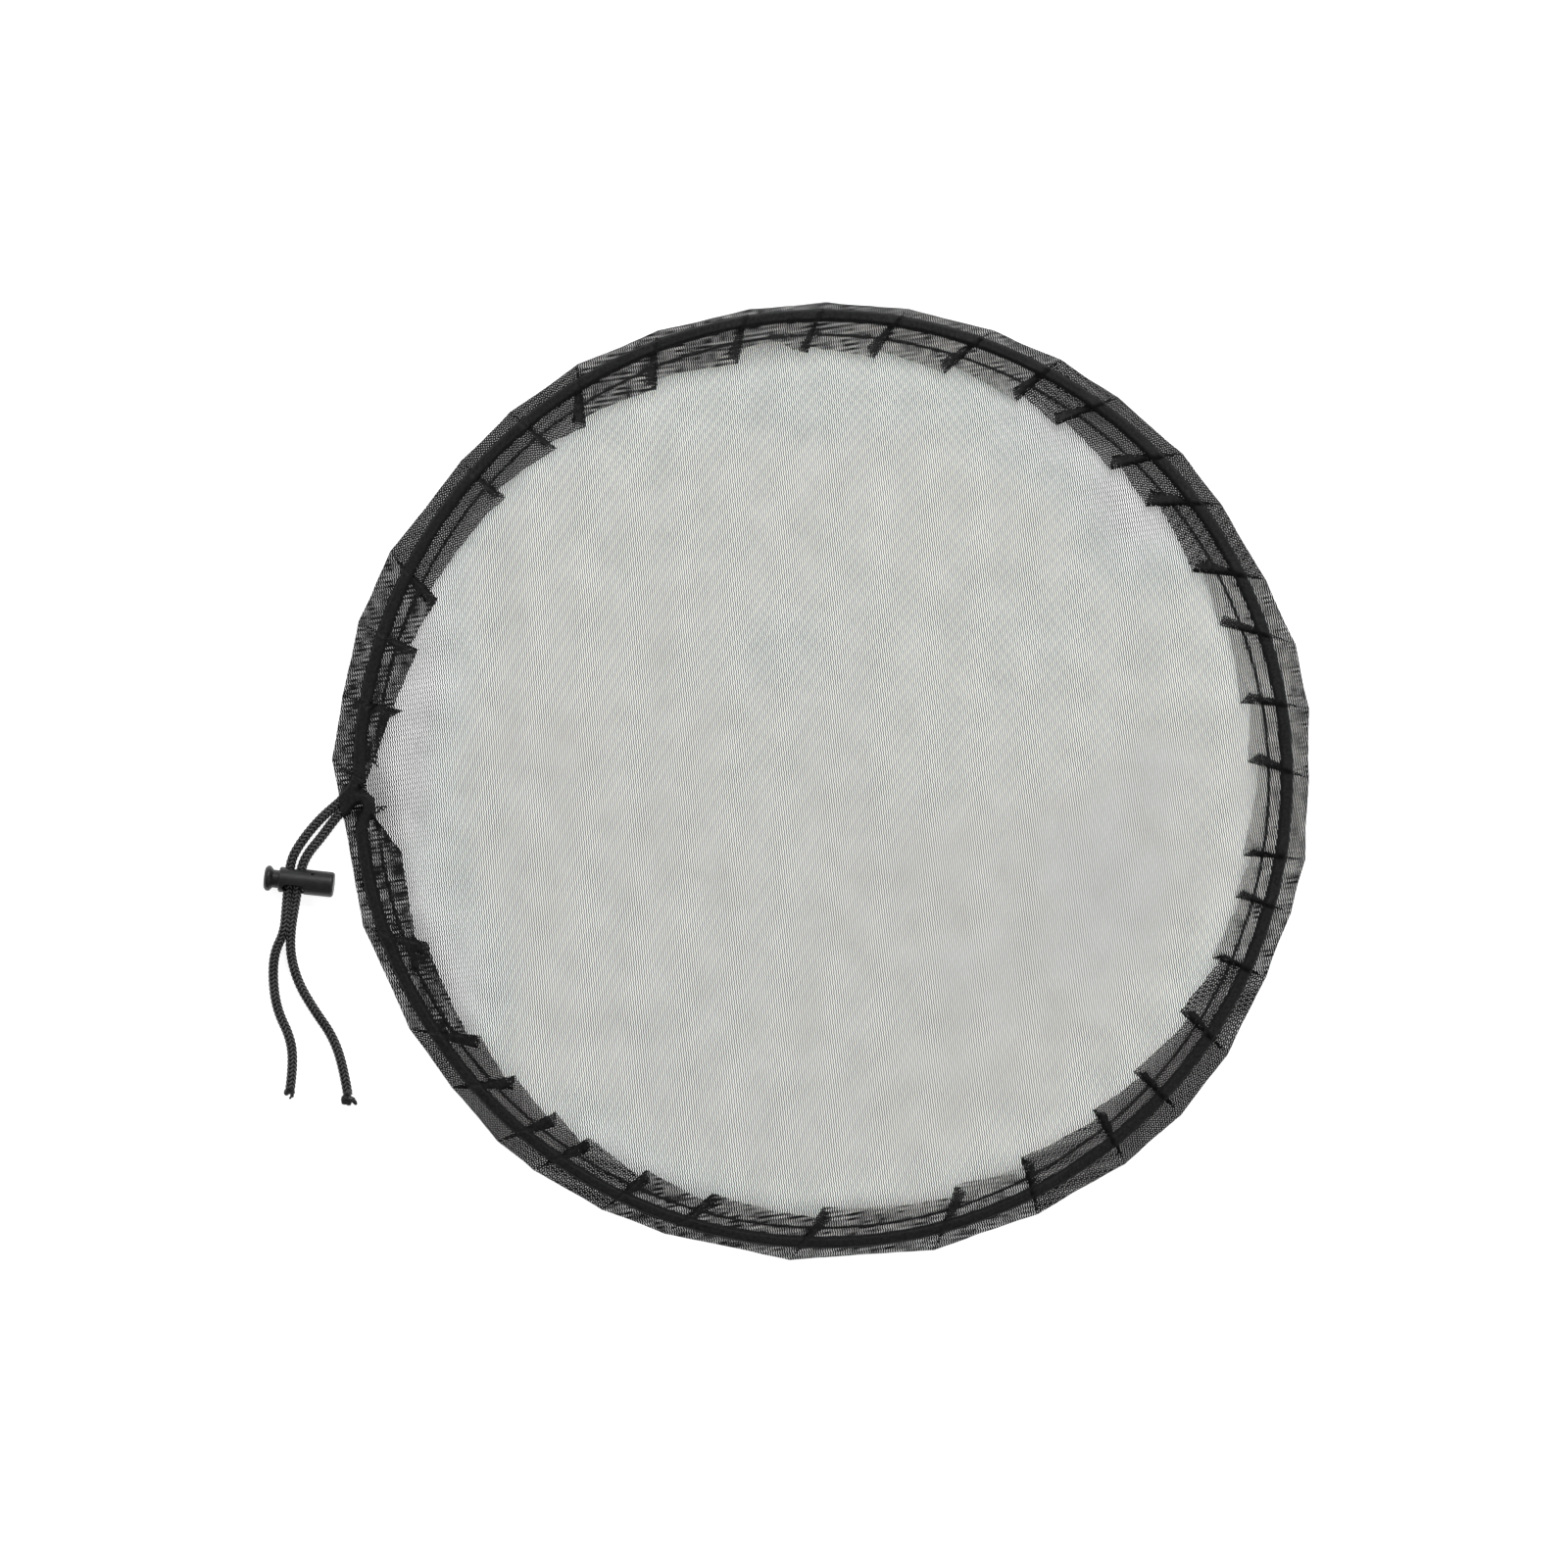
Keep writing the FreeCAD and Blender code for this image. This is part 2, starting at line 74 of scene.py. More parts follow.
# ---- the camera looks straight down on a pale floor ------------------------------------------------
CAMERA_PLACE = (-14.6 * MM, -1.0 * MM, 1.997)
CAMERA_LENS = 120
SENSOR_WIDTH = 36
FLOOR_HALF = 4.0
FLOOR_GLOW = 0.8
WORLD_GLOW = 0.13
# name, place, size (m), power (W)
LAMPS = (
    ("key", (0.3, 1.15, 1.2), 0.8, 15.0),
    ("fill_left", (-1.4, 0.2, 1.0), 1.2, 5.0),
    ("fill_right", (1.4, -0.5, 1.0), 1.2, 5.0),
)

# ---- the drawcord's two legs (mm), from inside the hem to their cut ends --------------------------
LEFT_ROUTE = (
    (-176.99, 1.49, 2.35),
    (-178.6, -2.2, 2.35),
    (-181.9, -5.6, 2.4),
    (-185.5, -9.0, 2.6),
    (-189.8, -12.6, 3.0),
    (-195.0, -18.2, 3.8),
    (-199.4, -24.2, 4.5),
    (-202.3, -29.5, 4.8),
    (-203.1, -35.0, 4.85),
    (-204.3, -48.5, 4.85),
    (-205.0, -57.4, 4.85),
    (-209.2, -65.4, 2.7),
    (-209.7, -76.5, 1.95),
    (-208.0, -87.5, 1.9),
    (-202.9, -98.0, 1.9),
    (-201.9, -108.0, 1.9),
    (-203.1, -117.6, 2.4),
)
RIGHT_ROUTE = (
    (-175.92, -19.51, 2.35),
    (-175.75, -16.8, 2.35),
    (-174.7, -13.4, 2.35),
    (-172.9, -10.9, 2.35),
    (-173.1, -7.7, 2.4),
    (-175.6, -5.9, 2.4),
    (-178.5, -6.3, 2.4),
    (-181.2, -9.1, 2.4),
    (-186.0, -14.3, 2.7),
    (-190.8, -21.0, 3.6),
    (-196.6, -28.0, 4.7),
    (-198.9, -34.0, 4.85),
    (-200.6, -44.5, 4.85),
    (-202.7, -57.0, 4.9),
    (-202.9, -66.5, 2.8),
    (-200.0, -77.0, 1.95),
    (-194.1, -87.0, 1.9),
    (-186.7, -97.5, 1.9),
    (-182.8, -109.0, 2.0),
    (-181.0, -119.5, 2.75),
)
# the right leg's first stretch doubles back under the net, and is made with the ring
TURN_LENGTH = 17.5 * MM
# the ring goes from the right leg round to the left one (degrees), a little off the cover's centre
RING_START = -173.67
RING_SWEEP = 353.18
RING_STEPS = 360
RING_CENTRE_X = 0.4 * MM
RING_CENTRE_Y = 0.9 * MM

# ---- braid -----------------------------------------------------------------------------------------
STRANDS_EACH_WAY = 8
LAY_LENGTH = 12.8 * MM
BRAID_MID_RADIUS = 1.42 * MM
BRAID_LIFT = 0.22 * MM
STRAND_HALF_WIDTH = 0.46 * MM
STRAND_HALF_THICKNESS = 0.3 * MM
CORE_RADIUS = 1.2 * MM
CORE_SIDES = 8
LEG_SPACING = 0.4 * MM
LEG_STRAND_SIDES = 7
RING_SPACING = 1.0 * MM
RING_STRAND_SIDES = 4

# ---- the hem's pleats: angle of the outline's corner, lean to the raw edge (degrees), outline radius (mm)
PLEATS = (
    (0.3, 2.3, 186.0), (8.5, 2.1, 188.1), (16.2, 5.2, 188.3), (24.4, 5.1, 186.2),
    (34.7, 5.7, 185.7), (42.3, 4.9, 186.1), (52.3, 4.3, 185.3), (60.5, 2.4, 185.2),
    (69.2, 4.1, 184.4), (79.7, 3.3, 183.6), (89.6, 2.4, 183.2), (98.8, 2.6, 182.6),
    (110.0, 2.9, 183.4), (120.3, 3.4, 184.8), (130.2, -1.7, 184.8), (138.4, -0.4, 184.5),
    (152.0, 2.6, 187.0), (161.0, 0.9, 187.4), (169.8, 0.6, 186.2), (177.4, 2.6, 187.5),
    (197.5, 4.7, 183.9), (210.9, 5.7, 183.8), (219.6, 4.1, 183.6), (228.0, 3.1, 185.2),
    (233.4, 3.3, 185.0), (242.8, 2.8, 184.0), (250.8, 4.3, 183.0), (266.1, 4.0, 183.3),
    (283.4, 4.8, 184.1), (296.4, 1.4, 184.7), (308.4, 1.0, 186.4), (317.1, -0.2, 187.2),
    (326.0, 1.2, 186.8), (336.2, -0.6, 185.3), (344.3, 0.0, 186.0), (350.8, -0.9, 187.0),
)
EXIT_CORNER = 177.4
TOOTH_RADIUS = 162.3 * MM
NOTCH_RADIUS = 166.6 * MM
PLEAT_WIDTH = 3.5 * MM
BAR_OUTER_RADIUS = 176 * MM
BAR_INNER_RADIUS = 166.5 * MM
EDGE_SAG = 0.25 * MM
EDGE_WOBBLE = 0.35 * MM
COLUMNS_PER_DEGREE = 1.2
# two stretches of raw edge that go their own way: angle (degrees), radius (mm). At the exit it draws back
# from the legs and then bulges over the right leg's turn, and near 96 degrees it draws back at a short lap
EXIT_EDGE = (
    (171.0, 166.4), (175.2, 169.1), (177.2, 171.2), (179.2, 173.2), (180.7, 175.2), (181.5, 172.9),
    (182.1, 171.3), (183.3, 170.8), (184.6, 171.0), (186.6, 167.4), (189.4, 163.0), (193.5, 163.4),
    (200.0, 165.6),
)
LAP_EDGE = (
    (91.9, 163.6), (93.4, 164.6), (94.8, 166.8), (95.7, 169.1), (98.0, 168.8), (100.0, 168.2),
    (101.2, 165.0),
)

# ---- cloth: heights, mesh density, flat radius and the knit ------------------------------------------
CLOTH_LIFT = 0.3 * MM
FOLD_HEIGHT = 0.6 * MM
OVERLAP_LIFT = 0.75 * MM
OVER_CORD = 0.45 * MM
# how near the cord's centreline the hem rises over it, and how near the cord, a pleat's bar of stacked
# layers and the seam the holes close: fully up to the first distance, and not at all from the second
RISE_FADE = (1.5 * MM, 2.7 * MM)
CORD_FADE = (2.0 * MM, 2.6 * MM)
BAR_FADE = (1.1 * MM, 2.1 * MM)
SEAM_FADE = (0.3 * MM, 0.9 * MM)
BAR_TIGHTNESS = 0.32
SEAM_TIGHTNESS = 0.5
FLAP_COLUMNS = 12
PLEAT_COLUMNS = 3
EXIT_COLUMNS = 84
FLAP_ROWS = 40
PLEAT_STEPS = 16
PANEL_RINGS = 44
WALE_PITCH = 0.88 * MM
COURSE_PITCH = 1.88 * MM
WALE_LEAN = 0.12
COURSE_RISE = 0.15
WALE_SWING = 0.22
# the turned layer's knit lies in step with the one below, this far to the side, unless its fold is steeper
# to the wales than this: then it shows as a true mirror image
LAYER_SHIFT = 0.14 * MM
STEEPEST_IN_STEP = 0.42
CREASE_Y = 6.6 * MM
CREASE_WIDTH = 1.6 * MM


def mm(point):
    return Vector([value * MM for value in point])


def polar(radius, degrees, height=0.0):
    angle = math.radians(degrees)
    return Vector((radius * math.cos(angle), radius * math.sin(angle), height))


def smooth(low, high, value):
    """0 below low, 1 above high, and a soft step between them."""
    share = min(max((value - low) / (high - low), 0.0), 1.0)
    return share * share * (3 - 2 * share)


def mix(a, b, share):
    return a + (b - a) * share


def ripple(x, y, size, seed=0.0):
    """Smooth noise from about -1 to 1 whose bumps are size across."""
    return noise.noise(Vector((x / size, y / size, SEED + seed)))


def new_object(name, vertices, faces, material):
    mesh = bpy.data.meshes.new(name)
    mesh.from_pydata(vertices, [], faces)
    mesh.polygons.foreach_set("use_smooth", [True] * len(faces))
    mesh.materials.append(material)
    piece = bpy.data.objects.new(name, mesh)
    bpy.context.scene.collection.objects.link(piece)
    return piece


# ---- materials -------------------------------------------------------------------------------------
class Look:
    """One material, and the nodes that make it."""

    def __init__(self, name):
        self.material = bpy.data.materials.new(name)
        self.material.use_nodes = True
        self.tree = self.material.node_tree
        self.shader = self.tree.nodes["Principled BSDF"]

    def set(self, node, name, value):
        socket = node.inputs[name]
        if isinstance(value, bpy.types.NodeSocket):
            self.tree.links.new(value, socket)
        else:
            socket.default_value = value

    def add(self, kind, **settings):
        """A new node: settings are its properties."""
        node = self.tree.nodes.new(kind)
        for name, value in settings.items():
            setattr(node, name, value)
        return node

    def math(self, operation, *values):
        node = self.add("ShaderNodeMath", operation=operation)
        for index, value in enumerate(values):
            self.set(node, index, value)
        return node.outputs[0]

    def step(self, value, low, high):
        """1 below low and 0 above high, as value rises."""
        return self.range(value, low, high, 1.0, 0.0, "SMOOTHSTEP")

    def noise(self, scale, detail=2.0, vector=None, stretch=None):
        node = self.add("ShaderNodeTexNoise")
        self.set(node, "Scale", scale)
        self.set(node, "Detail", detail)
        source = vector or self.add("ShaderNodeTexCoord").outputs["Object"]
        if stretch:
            mapping = self.add("ShaderNodeMapping")
            self.set(mapping, "Vector", source)
            self.set(mapping, "Scale", stretch)
            source = mapping.outputs["Vector"]
        self.set(node, "Vector", source)
        return node.outputs["Fac"]

    def colour(self, value, dark, light, low, high):
        """The surface's colour, from dark to light as value goes from low to high."""
        blend = self.add("ShaderNodeMix", data_type="RGBA")
        self.set(blend, 0, self.range(value, low, high))
        self.set(blend, 6, (*dark, 1.0))
        self.set(blend, 7, (*light, 1.0))
        self.set(self.shader, "Base Color", blend.outputs[2])

    def bump(self, height, distance, strength=1.0):
        node = self.add("ShaderNodeBump")
        self.set(node, "Height", height)
        self.set(node, "Distance", distance)
        self.set(node, "Strength", strength)
        self.set(self.shader, "Normal", node.outputs["Normal"])

    def uv(self, name):
        node = self.add("ShaderNodeUVMap", uv_map=name)
        split = self.add("ShaderNodeSeparateXYZ")
        self.set(split, "Vector", node.outputs["UV"])
        return split.outputs["X"], split.outputs["Y"]

    def range(self, value, low, high, new_low=0.0, new_high=1.0, kind="LINEAR"):
        """value taken from low..high to new_low..new_high."""
        node = self.add("ShaderNodeMapRange", interpolation_type=kind)
        self.set(node, "Value", value)
        self.set(node, "From Min", low)
        self.set(node, "From Max", high)
        self.set(node, "To Min", new_low)
        self.set(node, "To Max", new_high)
        return node.outputs["Result"]


def net_look():
    """Knitted net: wavy wales, thin threads across them, and open holes."""
    look = Look("net")
    u, v = look.uv("weave")
    wale = look.math("DIVIDE", u, WALE_PITCH)
    course = look.math("DIVIDE", v, COURSE_PITCH)
    gathered = look.add("ShaderNodeAttribute", attribute_name="gathered").outputs["Fac"]
    patch = look.noise(70.0, 3.0)
    fibre = look.noise(900.0, 2.0)
    zigzag = look.math("MULTIPLY_ADD", look.math("PINGPONG", course, 0.5), 4.0, -1.0)
    wandering = look.math("MULTIPLY_ADD", zigzag, WALE_SWING, wale)
    from_wale = look.math("PINGPONG", wandering, 0.5)
    tight = look.add("ShaderNodeAttribute", attribute_name="tight").outputs["Fac"]
    half_width = look.math("MULTIPLY_ADD", gathered, 0.10, look.range(patch, 0.3, 0.7, 0.212, 0.242))
    half_width = look.math("MULTIPLY_ADD", fibre, 0.05, half_width)
    half_width = look.math("MULTIPLY_ADD", tight, 0.3, half_width)
    wale_mask = look.step(look.math("SUBTRACT", from_wale, half_width), -0.03, 0.03)
    from_thread = look.math("PINGPONG", course, 0.5)
    thread_mask = look.step(look.math("SUBTRACT", from_thread, 0.01), -0.01, 0.01)
    mask = look.math("MAXIMUM", wale_mask, thread_mask)
    look.set(look.shader, "Alpha", mask)
    look.colour(fibre, (0.005, 0.005, 0.0055), (0.020, 0.020, 0.021), 0.3, 0.7)
    look.set(look.shader, "Roughness", 0.62)
    look.set(look.shader, "Specular IOR Level", 0.25)
    look.bump(look.math("SUBTRACT", 0.5, from_wale), 0.12 * MM, 0.6)
    return look.material


def cord_look(name, dark, light):
    """Braided polyester: fine filaments along each strand, with a low sheen, and painted light: each strand's
    outer face is painted lighter, and its edges and the strands passing under are painted darker.
    """
    look = Look(name)
    across, along = look.uv("strand")
    lines = look.add("ShaderNodeCombineXYZ")
    look.set(lines, "X", look.math("MULTIPLY", across, 9.0))
    look.set(lines, "Y", look.math("MULTIPLY", along, 160.0))
    filaments = look.noise(1.6, 3.0, vector=lines.outputs["Vector"])
    patch = look.noise(180.0, 2.0)
    # painted light: a per-vertex weight that paints each strand's outer face lighter and its edges, inner
    # face and the strands diving under darker
    painted_crest_light = look.add("ShaderNodeAttribute", attribute_name="painted_crest_light").outputs["Fac"]
    shade = look.math("MULTIPLY_ADD", patch, 0.3, look.math("MULTIPLY", filaments, 0.4))
    shade = look.math("MULTIPLY_ADD", painted_crest_light, 0.75, shade)
    look.colour(shade, dark, light, 0.62, 1.12)
    look.set(look.shader, "Roughness", look.range(filaments, 0.3, 0.7, 0.42, 0.62))
    look.set(look.shader, "Specular IOR Level", 0.3)
    look.bump(filaments, 0.06 * MM, 0.8)
    return look.material


def thread_look():
    look = Look("seam_thread")
    twist = look.noise(2200.0, 2.0)
    look.colour(twist, (0.004, 0.004, 0.004), (0.02, 0.02, 0.02), 0.3, 0.7)
    look.set(look.shader, "Roughness", look.range(twist, 0.3, 0.7, 0.5, 0.75))
    look.set(look.shader, "Specular IOR Level", 0.25)
    look.bump(twist, 0.05 * MM, 0.6)
    return look.material


def melted_look():
    look = Look("melted_tip")
    lumps = look.noise(1400.0, 3.0)
    look.colour(lumps, (0.006, 0.006, 0.006), (0.035, 0.035, 0.036), 0.35, 0.65)
    look.set(look.shader, "Roughness", look.range(lumps, 0.3, 0.7, 0.25, 0.55))
    look.bump(lumps, 0.12 * MM, 0.8)
    return look.material


def plastic_look():
    """Moulded plastic with a fine satin grain and a few soft scuffs."""
    look = Look("lock_plastic")
    grain = look.noise(5200.0, 2.0)
    cloud = look.noise(160.0, 3.0)
    scuffs = look.noise(420.0, 4.0, stretch=(1.0, 5.0, 1.0))
    tone = look.math("MULTIPLY_ADD", cloud, 0.6, look.math("MULTIPLY", scuffs, 0.4))
    look.colour(tone, (0.011, 0.011, 0.011), (0.024, 0.024, 0.025), 0.35, 0.65)
    look.set(look.shader, "Roughness", look.range(scuffs, 0.35, 0.7, 0.36, 0.52))
    look.bump(look.math("MULTIPLY_ADD", grain, 0.5, look.math("MULTIPLY", cloud, 0.5)), 0.04 * MM, 0.5)
    return look.material


def spring_look():
    look = Look("spring_steel")
    drawn = look.noise(1800.0, 2.0, stretch=(1.0, 8.0, 1.0))
    look.colour(drawn, (0.42, 0.42, 0.42), (0.62, 0.62, 0.61), 0.3, 0.7)
    look.set(look.shader, "Metallic", 1.0)
    look.set(look.shader, "Roughness", look.range(drawn, 0.3, 0.7, 0.25, 0.4))
    look.bump(drawn, 0.02 * MM, 0.4)
    return look.material


NET = net_look()
CORD = cord_look("cord", (0.003, 0.003, 0.0032), (0.170, 0.170, 0.175))
RING_CORD = cord_look("ring_cord", (0.020, 0.020, 0.021), (0.120, 0.120, 0.124))
THREAD = thread_look()
MELTED = melted_look()
PLASTIC = plastic_look()
STEEL = spring_look()


# ---- camera, light and floor -------------------------------------------------------------------------
def make_stage():
    scene = bpy.context.scene
    camera = bpy.data.objects.new("camera", bpy.data.cameras.new("camera"))
    camera.data.lens = CAMERA_LENS
    camera.data.sensor_width = SENSOR_WIDTH
    camera.data.clip_start = 0.01
    camera.location = CAMERA_PLACE
    scene.collection.objects.link(camera)
    scene.camera = camera
    scene.view_settings.view_transform = "Standard"

    floor_look = Look("floor")
    paper = floor_look.noise(60.0, 3.0)
    floor_look.colour(paper, (0.93, 0.93, 0.93), (0.95, 0.95, 0.95), 0.0, 1.0)
    floor_look.set(floor_look.shader, "Roughness", 0.95)
    floor_look.set(floor_look.shader, "Specular IOR Level", 0.0)
    floor_look.set(floor_look.shader, "Emission Color", (1.0, 1.0, 1.0, 1.0))
    floor_look.set(floor_look.shader, "Emission Strength", FLOOR_GLOW)
    half = FLOOR_HALF
    corners = [(-half, -half, 0), (half, -half, 0), (half, half, 0), (-half, half, 0)]
    floor = new_object("floor", corners, [(0, 1, 2, 3)], floor_look.material)

    world = bpy.data.worlds.new("studio")
    world.use_nodes = True
    background = world.node_tree.nodes["Background"]
    background.inputs["Color"].default_value = (1.0, 1.0, 1.0, 1.0)
    background.inputs["Strength"].default_value = WORLD_GLOW
    scene.world = world

    for name, place, size, power in LAMPS:
        lamp = bpy.data.objects.new(name, bpy.data.lights.new(name, "AREA"))
        lamp.data.shape = "SQUARE"
        lamp.data.size = size
        lamp.data.energy = power
        lamp.location = place
        lamp.rotation_euler = (-Vector(place)).to_track_quat("-Z", "Y").to_euler()
        scene.collection.objects.link(lamp)


make_stage()


# ---- cords -------------------------------------------------------------------------------------------
def route_line(name, points):
    """The points along a NURBS curve that has these control points."""
    curve = bpy.data.curves.new(name, "CURVE")
    curve.dimensions = "3D"
    curve.resolution_u = 24
    spline = curve.splines.new("NURBS")
    spline.points.add(len(points) - 1)
    for control, point in zip(spline.points, points):
        control.co = (*point, 1.0)
    spline.order_u = 3
    spline.use_endpoint_u = True
    holder = bpy.data.objects.new(name, curve)
    bpy.context.scene.collection.objects.link(holder)
    mesh = bpy.data.meshes.new_from_object(holder)
    line = [vertex.co.copy() for vertex in mesh.vertices]
    bpy.data.objects.remove(holder)
    bpy.data.meshes.remove(mesh)
    return line


def length_of(line):
    return sum((b - a).length for a, b in zip(line, line[1:]))


def evenly(line, spacing):
    """The same line with its points a set distance apart, and its whole length."""
    steps = [(b - a).length for a, b in zip(line, line[1:])]
    length = sum(steps)
    count = max(2, round(length / spacing))
    points, index, passed = [], 0, 0.0
    for number in range(count + 1):
        target = min(length * number / count, length)
        while index < len(steps) - 1 and passed + steps[index] < target:
            passed += steps[index]
            index += 1
        share = min((target - passed) / steps[index], 1.0)
        points.append(line[index].lerp(line[index + 1], share))
    return points, length


def frames_along(points):
    """At each point: the direction of the line, and two directions across it that don't twist."""
    tangents = []
    for index in range(len(points)):
        before = points[max(index - 1, 0)]
        after = points[min(index + 1, len(points) - 1)]
        tangents.append((after - before).normalized())
    side = tangents[0].cross(Vector((0, 0, 1))).normalized()
    found = []
    for tangent in tangents:
        side = (side - tangent * side.dot(tangent)).normalized()
        found.append((tangent, side, tangent.cross(side)))
    return found


def add_tube(vertices, faces, rings):
    """Joins rings of points, each as long as the next, into one tube with closed ends."""
    first = len(vertices)
    count = len(rings[0])
    for ring in rings:
        vertices.extend(ring)
    for row in range(len(rings) - 1):
        for column in range(count):
            a = first + row * count + column
            b = first + row * count + (column + 1) % count
            faces.append((a, b, b + count, a + count))
    faces.append(tuple(first + count - 1 - column for column in range(count)))
    last = first + (len(rings) - 1) * count
    faces.append(tuple(last + column for column in range(count)))


def add_thread(vertices, faces, line, radius, sides=6, frames=None):
    """A round tube along the line."""
    turns = [math.tau * corner / sides for corner in range(sides)]
    rings = []
    for point, (tangent, side, up) in zip(line, frames or frames_along(line)):
        rings.append([point + (side * math.cos(turn) + up * math.sin(turn)) * radius for turn in turns])
    add_tube(vertices, faces, rings)


def braided(name, line, material, spacing, sides):
    """A braided cord along the line: eight flat strands each way, over two and under two."""
    points, length = evenly(line, spacing)
    frames = frames_along(points)
    step = length / (len(points) - 1)
    vertices, faces, across, along, painted_crest_light = [], [], [], [], []
    for way in (1, -1):
        slope = math.tau * BRAID_MID_RADIUS / LAY_LENGTH
        for strand in range(STRANDS_EACH_WAY):
            rings = []
            for index, (point, (tangent, side, up)) in enumerate(zip(points, frames)):
                turn = way * math.tau * index * step / LAY_LENGTH + math.tau * strand / STRANDS_EACH_WAY
                lift = way * BRAID_LIFT * math.cos(STRANDS_EACH_WAY / 2 * turn)
                outward = side * math.cos(turn) + up * math.sin(turn)
                round_way = up * math.cos(turn) - side * math.sin(turn)
                over = (round_way - tangent * slope * way).normalized()
                centre = point + outward * (BRAID_MID_RADIUS + lift)
                ring = []
                for corner in range(sides):
                    angle = math.tau * corner / sides
                    ring.append(
                        centre
                        + over * STRAND_HALF_WIDTH * math.cos(angle)
                        + outward * STRAND_HALF_THICKNESS * math.sin(angle)
                    )
                    across.append(corner / sides)
                    along.append(index * step)
                    # painted light for the cord's colour: highest on a strand's outer face where it rides
                    # over, lower where it dives under, 0 on its inner half and on the core
                    painted_crest_light.append(max(math.sin(angle), 0.0) * (0.55 + 0.45 * lift / BRAID_LIFT))
                rings.append(ring)
            add_tube(vertices, faces, rings)
    core_start = len(vertices)
    add_thread(vertices, faces, points[::2] + points[-1:], CORE_RADIUS, CORE_SIDES, frames[::2] + frames[-1:])
    across += [0.5] * (len(vertices) - core_start)
    along += [0.0] * (len(vertices) - core_start)
    painted_crest_light += [0.0] * (len(vertices) - core_start)
    piece = new_object(name, vertices, faces, material)
    layer = piece.data.uv_layers.new(name="strand")
    for loop in piece.data.loops:
        layer.data[loop.index].uv = (across[loop.vertex_index], along[loop.vertex_index])
    piece.data.attributes.new("painted_crest_light", "FLOAT", "POINT").data.foreach_set("value", painted_crest_light)
    return piece, points


cord_pieces = {}
left_line = route_line("route_left", [mm(point) for point in LEFT_ROUTE])
right_line = route_line("route_right", [mm(point) for point in RIGHT_ROUTE])
turn_end = 0
while length_of(right_line[: turn_end + 1]) <= TURN_LENGTH:
    turn_end += 1
for side, line in (("left", left_line), ("right", right_line[turn_end:])):
    leg, leg_points = braided(f"drawcord_{side}_braid", line, CORD, LEG_SPACING, LEG_STRAND_SIDES)
    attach(leg, "cover")
    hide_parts(f"drawcord_{side}")
    cord_pieces[side] = (leg, leg_points)

ring_centre = Vector((RING_CENTRE_X, RING_CENTRE_Y, 0.0))
ring_line = right_line[turn_end:0:-1]
for number in range(RING_STEPS + 1):
    angle = RING_START + RING_SWEEP * number / RING_STEPS
    away = smooth(4, 30, min(number, RING_STEPS - number))
    ring_line.append(polar(RING_RADIUS, angle, CORD_HEIGHT) + ring_centre * away)
ring, ring_points = braided("drawcord_ring_braid", ring_line, RING_CORD, RING_SPACING, RING_STRAND_SIDES)
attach(ring, "cover")
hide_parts("drawcord_ring")


# ---- cut ends of the cord, melted so that they don't fray ------------------------------------------
# in millimetres, the unit that the metaballs are made in
MELT_GRAIN = 0.16
MELT_LUMP_SIZE = 0.9
MELT_LUMP_HEIGHT = 0.14


def melted_end(name, points, flare, lobes, seed):
    """A lump of melted strands at the end of a leg: lobes are (along, across, up, size) in cord radii."""
    end = points[-1]
    tangent = (points[-1] - points[-6]).normalized()
    side = tangent.cross(Vector((0, 0, 1))).normalized()
    up = side.cross(tangent).normalized()
    balls = bpy.data.metaballs.new(name)
    balls.resolution = MELT_GRAIN
    balls.render_resolution = MELT_GRAIN
    balls.threshold = 0.35
    for ahead, across, height, size in lobes:
        ball = balls.elements.new()
        ball.co = (tangent * ahead + side * across * flare + up * height) * CORD_RADIUS / MM
        ball.radius = size * CORD_RADIUS / MM
    holder = bpy.data.objects.new(name + "_balls", balls)
    bpy.context.scene.collection.objects.link(holder)
    bpy.context.view_layer.update()
    mesh = bpy.data.meshes.new_from_object(holder.evaluated_get(bpy.context.evaluated_depsgraph_get()))
    bpy.data.objects.remove(holder)
    vertices = []
    for vertex in mesh.vertices:
        lump = noise.noise(vertex.co / MELT_LUMP_SIZE + Vector((seed, 0, 0))) * MELT_LUMP_HEIGHT
        spot = end + (vertex.co + vertex.normal * lump) * MM
        vertices.append((spot.x, spot.y, max(spot.z, 0.1 * MM)))
    faces = [tuple(polygon.vertices) for polygon in mesh.polygons]
    bpy.data.meshes.remove(mesh)
    tip = new_object(name, vertices, faces, MELTED)
    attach(tip, "cover")
    return tip


LEFT_LOBES = (
    (-0.5, 0.0, 0.0, 1.35), (0.5, 0.55, 0.0, 1.0), (0.9, 0.75, -0.1, 0.75), (0.5, -0.5, 0.0, 0.95),
    (1.3, -0.6, 0.0, 0.62), (1.75, -0.25, -0.2, 0.42),
)
RIGHT_LOBES = (
    (-0.4, 0.0, 0.0, 1.45), (0.8, 0.75, -0.1, 1.2), (1.4, 0.9, -0.2, 0.95), (1.0, 0.0, 0.0, 1.15),
    (1.8, 0.1, -0.2, 0.9), (1.2, -0.65, 0.0, 0.95), (1.8, -1.0, -0.2, 0.75), (2.2, -1.15, -0.3, 0.5),
)
left_tip = melted_end("cord_tip_left_melt", cord_pieces["left"][1], 1.0, LEFT_LOBES, 3)
right_tip = melted_end("cord_tip_right_melt", cord_pieces["right"][1], 1.15, RIGHT_LOBES, 5)
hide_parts("cord_tip_left")
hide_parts("cord_tip_right")


# ---- the net: one round of cloth, folded over the cord and pleated ---------------------------------
def mirrored(point, a, b):
    """point reflected in the line from a to b, in plan."""
    way = (b - a).normalized()
    offset = point - a
    return a + way * offset.dot(way) * 2 - offset


def drawn_back(degrees):
    """How far in the raw edge reaches at the cord's exit and at the short lap, and None elsewhere."""
    for edge in (EXIT_EDGE, LAP_EDGE):
        for (a, near), (b, far) in zip(edge, edge[1:]):
            if a <= degrees <= b:
                return mix(near, far, (degrees - a) / (b - a)) * MM
    return None


